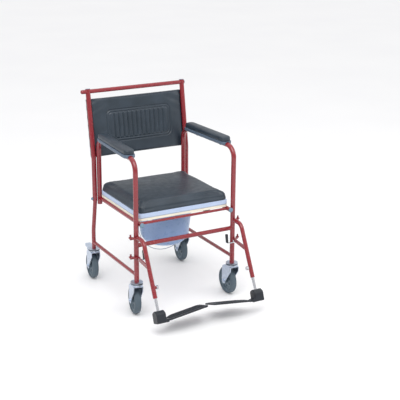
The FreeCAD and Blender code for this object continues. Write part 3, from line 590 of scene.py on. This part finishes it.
def hem(side, sign):
    """A vinyl strip curled round the back of one tube."""
    outline = [(sheet_half - 5 * MM, -9 * MM)]
    for turn in np.linspace(-35, 62, 12):
        angle = math.radians(turn)
        outline.append((cane_half + HEM_REACH * math.sin(angle), -HEM_REACH * math.cos(angle)))
    corners, faces = [], []
    for n in range(HEM_STEPS + 1):
        share = n / HEM_STEPS
        up = back_low[1] + HEM_INSET + (back_high[1] - back_low[1] - 2 * HEM_INSET) * share
        pull = sum(math.exp(-(((share - at) / 0.03) ** 2)) for at in SCREW_SHARES)
        for k, (x, depth) in enumerate(outline):
            slack = 0.5 * MM * math.sin(share * 40 + k) * (1 - pull) * (k > 8)
            spot = np.array((sign * (x + slack), up, CANE_AXIS + depth + 0.4 * MM * pull))
            corners.append(back_axes.T @ spot)
    width = len(outline)
    for n in range(HEM_STEPS):
        for k in range(width - 1):
            a = n * width + k
            faces.append((a, a + 1, a + width + 1, a + width))
    piece = new_piece(f"back_hem_{side}", corners, faces, "frame", "upholstery_vinyl")
    thick = piece.modifiers.new("vinyl", "SOLIDIFY")
    thick.thickness = 1.1 * MM
    thick.offset = 0
    apply_modifiers(piece)
    finish_skin(piece)
    return piece


for side, sign in SIDES:
    print(hem(side, sign).name)

# %% [markdown]
# ## Softening moulded edges
# A mould never gives a knife edge. For the seat panel, the armrest bases, the footrest heels,
# the footplates and the lever grips, a fine voxel skin is relaxed a few times, which rounds
# every edge. A bevel would be lighter, but it stumbles where many small faces meet.


# %% Softening moulded edges
def soften(node, voxel, passes):
    """A copy of a moulding with every edge rounded, which stands for it."""
    piece = copy_of_node(node, f"{node}_moulded")
    even_skin(piece, voxel)
    relax = piece.modifiers.new("relax", "SMOOTH")
    relax.factor = 0.5
    relax.iterations = passes
    apply_modifiers(piece)
    put_finish_on(piece, slot_of_node[node])
    print(piece.name, "corners:", len(piece.data.vertices))


soften("seat_panel", 2.5 * MM, passes=8)
soften("arm_bases", 2 * MM, passes=5)
for side in ("left", "right"):
    soften(f"footrest_heel_{side}", 1.4 * MM, passes=8)
    soften(f"footplate_{side}", 1.4 * MM, passes=4)
    soften(f"latch_grip_{side}", 1 * MM, passes=5)

# %% [markdown]
# ## Weld beads
# Where a branch tube meets the side of a trunk tube, the welder runs a bead round the
# joint. Seen along the branch the joint is a circle, but it rises and falls with the
# trunk's roundness: at a sideways distance s, the trunk's surface lies the root of
# (trunk radius squared minus s squared) from its middle. A small ripple in the bead's
# thickness shows the welder's steps. The thin cross rods meet level rails, and there the
# same upright saddle is only close to the true one.


# %% Weld beads
MAIN_TUBE, SLIM_TUBE, BRACE_TUBE, CROSS_ROD = 11 * MM, 9.5 * MM, 8 * MM, 6 * MM  # radii
BEAD_STEPS, RIPPLES = 72, 18
RAIL_SHORTFALL = 5.1 * MM  # from the lower rails' ends to the rear leg's axis


def weld_bead(at, branch, branch_radius, trunk_radius, size=1.5 * MM):
    """A rippled bead where a branch tube leaves an upright trunk whose axis passes through at."""
    across = branch.cross(Z)
    path, radii = [], []
    for n in range(BEAD_STEPS):
        turn = 2 * math.pi * n / BEAD_STEPS
        sideways = branch_radius * math.sin(turn)
        out = math.sqrt(max(trunk_radius**2 - sideways**2, 0))
        path.append(at + branch * out + Z * (branch_radius * math.cos(turn)) + across * sideways)
        radii.append(size * (1 + 0.16 * math.sin(turn * RIPPLES)))
    return tube(path, radii, branch)


leg_x, leg_y = cane_half, middle("cross_tube_front").y
cross_level, rail_level = middle("cross_tube_front").z, middle("lower_rails").z
seat_level = middle("seat_rails").z
post_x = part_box("seat_rails")[1].x - SLIM_TUBE
post_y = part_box("side_frame_right")[1].y - MAIN_TUBE
rear_leg_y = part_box("lower_rails")[1].y + RAIL_SHORTFALL
rods_low, rods_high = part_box("seat_cross_rods")
beads = []
for sign in (-1, 1):
    inward = X * -sign
    leg, post = Vector((sign * leg_x, leg_y, 0)), Vector((sign * post_x, post_y, 0))
    rear_leg = Vector((sign * leg_x, rear_leg_y, 0))
    beads.append(weld_bead(leg + Z * cross_level, inward, SLIM_TUBE, MAIN_TUBE))
    beads.append(weld_bead(leg + Z * rail_level, Y, BRACE_TUBE, MAIN_TUBE))
    beads.append(weld_bead(rear_leg + Z * rail_level, -Y, BRACE_TUBE, SLIM_TUBE))
    beads.append(weld_bead(post + Z * seat_level, -Y, SLIM_TUBE, MAIN_TUBE))
    for depth in (rods_low.y + CROSS_ROD, rods_high.y - CROSS_ROD):
        rail = Vector((sign * post_x, depth, seat_level))
        beads.append(weld_bead(rail, inward, CROSS_ROD, SLIM_TUBE, size=1.1 * MM))
new_piece("weld_beads", *gather(beads), "frame", "frame_paint")
print("weld beads:", len(beads))

# %% [markdown]
# ## Castor seals
# A black rubber ring keeps hair and water out of each swivel bearing. It turns with the
# fork, so each ring rides on its own swivel.

# %% Castor seals
SEAL_RINGS = ((25.6 * MM, -1.2 * MM), (21.5 * MM, 0.2 * MM))  # radius, height over the fork
SEAL_THICKNESS = 1.3 * MM
REAR_STEM_INSET = 27 * MM  # from the rear edge of the castor mounts
castors = [name[len("castor_fork_"):] for name in frame["nodes"] if name.startswith("castor_fork_")]
for castor in castors:
    stem = Vector((math.copysign(leg_x, middle(f"castor_fork_{castor}").x), 0, 0))
    stem.y = leg_y if castor.startswith("front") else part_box("castor_mounts")[1].y - REAR_STEM_INSET
    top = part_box(f"castor_fork_{castor}")[1].z
    rings = []
    for radius, over in SEAL_RINGS:
        path = flat_circle(stem + Z * (top + over), radius)
        rings.append(tube(path, [SEAL_THICKNESS] * len(path), Z))
    new_piece(f"castor_seal_{castor}", *gather(rings), f"swivel_{castor}", "black_plastic")
print("seals:", castors)

# %% [markdown]
# ## Tread on the footplates
# Low ribs stop a foot from sliding. They are moulded with the plate, run along it, and end
# short of its rim. The plate leans, so the ribs are laid out along the plate's own axes.


# %% Tread on the footplates
RIB_COUNT, RIB_POINTS, RIB_THICKNESS = 9, 24, 1.3 * MM


def plate_ribs(side, sign):
    """The ribs on one plate. The rear ones start later, where the plate's corner is cut."""
    mesh = frame["nodes"][f"footplate_{side}"].data
    top = max((f for f in mesh.polygons if f.normal.z > 0.5), key=lambda face: face.area)
    up = top.normal.copy()
    along = (X - up * X.dot(up)).normalized() * -sign
    across = up.cross(along).normalized()
    start = mesh.vertices[top.vertices[0]].co
    spots = (coordinates(mesh) - np.array(start)) @ np.array((along, across)).T
    low, high = spots.min(0), spots.max(0)
    ribs = []
    for share in np.linspace(0.14, 0.86, RIB_COUNT):
        side_step = low[1] + (high[1] - low[1]) * share
        rear_share = share if across.y > 0 else 1 - share
        first = low[0] + 24 * MM + max(0, rear_share - 0.62) * 110 * MM
        last = high[0] - 12 * MM - 8 * MM * abs(share - 0.5)
        reach = np.linspace(first, last, RIB_POINTS)
        path = [start + along * u + across * side_step for u in reach]
        ribs.append(tube(path, [RIB_THICKNESS] * len(path), up, closed=False))
    return new_piece(f"footplate_ribs_{side}", *gather(ribs), f"plate_{side}", "black_plastic")


for side, sign in SIDES:
    print(plate_ribs(side, sign).name)

# %% [markdown]
# ## Floor, light and camera
# A studio shot: a pale floor, a bright room that is dimmer at the horizon than above, and two
# large soft lamps. Large lamps make long soft highlights on the tubes and only a faint shadow
# underneath. The lens is long and a little shifted, so the upright tubes stay nearly parallel.

# %% Floor and light
floor_finish, floor_shader = new_finish("pale_floor", (0.93, 0.93, 0.93), 0.6)
floor_clouds = pattern(floor_finish, "Noise", 1.2, Detail=2.0)
vary_colour(floor_finish, floor_shader, floor_clouds, (0.92, 0.92, 0.925), (0.94, 0.94, 0.94))
floor_mesh = bpy.data.meshes.new("floor")
floor_mesh.from_pydata([(-12, -12, 0), (12, -12, 0), (12, 12, 0), (-12, 12, 0)], [], [(0, 1, 2, 3)])
floor_mesh.materials.append(floor_finish)
floor = bpy.data.objects.new("floor", floor_mesh)
scene.collection.objects.link(floor)

room = bpy.data.worlds.new("bright_room")
room.use_nodes = True
sky, ramp, split = (room.node_tree.nodes.new(kind) for kind in (
    "ShaderNodeTexCoord", "ShaderNodeValToRGB", "ShaderNodeSeparateXYZ"))
for stop, (height, level) in zip(ramp.color_ramp.elements, ((0.0, 0.42), (0.75, 1.0))):
    stop.position = height
    stop.color = (level, level, level * 1.01, 1)
room.node_tree.links.new(sky.outputs["Generated"], split.inputs[0])
room.node_tree.links.new(split.outputs["Z"], ramp.inputs[0])
room.node_tree.links.new(ramp.outputs[0], room.node_tree.nodes["Background"].inputs["Color"])
room.node_tree.nodes["Background"].inputs["Strength"].default_value = 1.12
scene.world = room


def lamp(name, place, aim, size, power):
    """A large soft lamp that looks at a point."""
    light = bpy.data.lights.new(name, "AREA")
    light.shape = "RECTANGLE"
    light.size, light.size_y = size
    light.energy = power
    holder = bpy.data.objects.new(name, light)
    holder.location = place
    holder.rotation_euler = (Vector(aim) - Vector(place)).to_track_quat("-Z", "Y").to_euler()
    scene.collection.objects.link(holder)


chair_middle = (0, 0, 0.5)
lamp("key_lamp", (-0.9, -1.5, 3.0), chair_middle, (2.6, 2.0), 50)
lamp("fill_lamp", (2.6, -1.4, 1.8), chair_middle, (1.8, 1.8), 14)

# %% Camera
camera = bpy.data.cameras.new("camera")
camera.lens = 87.05
camera.sensor_width = 36
camera.shift_x = 0.0616
camera.shift_y = -0.0352
holder = bpy.data.objects.new("camera", camera)
holder.location = (-1.9144, -3.6457, 1.8026)
turn, tilt = math.radians(28.13), math.radians(17.38)
looking = Vector((math.sin(turn) * math.cos(tilt), math.cos(turn) * math.cos(tilt), -math.sin(tilt)))
holder.rotation_euler = looking.to_track_quat("-Z", "Y").to_euler()
scene.collection.objects.link(holder)
scene.camera = holder
scene.view_settings.view_transform = "Standard"
